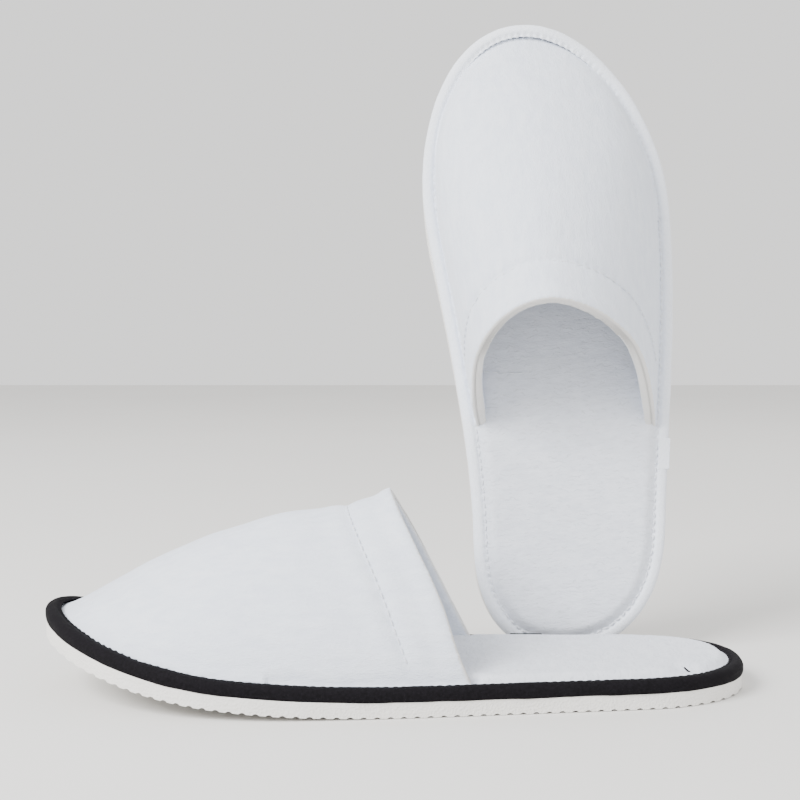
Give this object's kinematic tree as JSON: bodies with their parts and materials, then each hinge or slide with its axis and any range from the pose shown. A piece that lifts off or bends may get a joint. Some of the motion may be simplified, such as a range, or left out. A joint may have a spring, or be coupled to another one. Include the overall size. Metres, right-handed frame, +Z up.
{
  "type": "spa slippers",
  "caption": "Pair of closed-toe spa slippers with ribbed foam soles and bound edges; one lies flat, the other stands on its heel behind it",
  "frame": {"origin": "centre of the bottom of the pair's bounding box, on the floor both slippers rest on", "axes": "+X runs from the lying slipper's toe to its heel, +Y away from the side the pair is seen from, +Z up"},
  "size_m": [0.285, 0.1622, 0.2849],
  "materials": {
    "outsole_foam": "closed-cell foam rubber, matte",
    "board": "fibre board",
    "sponge": "open soft foam",
    "insole_cloth": "fine knit cloth",
    "upper_cloth": "short brushed nap",
    "lining_cloth": "plain knit cloth",
    "black_tape": "woven tape",
    "white_tape": "woven tape",
    "black_thread": "spun thread",
    "white_thread": "spun thread"
  },
  "bodies": {
    "front_slipper": {"front_outsole": "outsole_foam", "front_insole_backing": "board", "front_insole_foam": "sponge", "front_insole_cover": "insole_cloth", "front_edge_binding": "black_tape", "front_binding_thread": "black_thread", "front_binding_lap": "black_tape", "front_upper_shell": "upper_cloth", "front_upper_padding": "sponge", "front_upper_lining": "lining_cloth", "front_collar_thread": "white_thread", "front_thread_tail": "black_thread"},
    "rear_slipper": {"rear_outsole": "outsole_foam", "rear_insole_backing": "board", "rear_insole_foam": "sponge", "rear_insole_cover": "insole_cloth", "rear_edge_binding": "white_tape", "rear_binding_thread": "white_thread", "rear_binding_lap": "white_tape", "rear_upper_shell": "upper_cloth", "rear_upper_padding": "sponge", "rear_upper_lining": "lining_cloth", "rear_collar_thread": "white_thread"}
  },
  "joints": [
    {"name": "rear_slipper_lift", "type": "slide", "parent": "front_slipper", "child": "rear_slipper", "axis": [0, 0, 1], "range_m": [0, 0.3]}
  ]
}
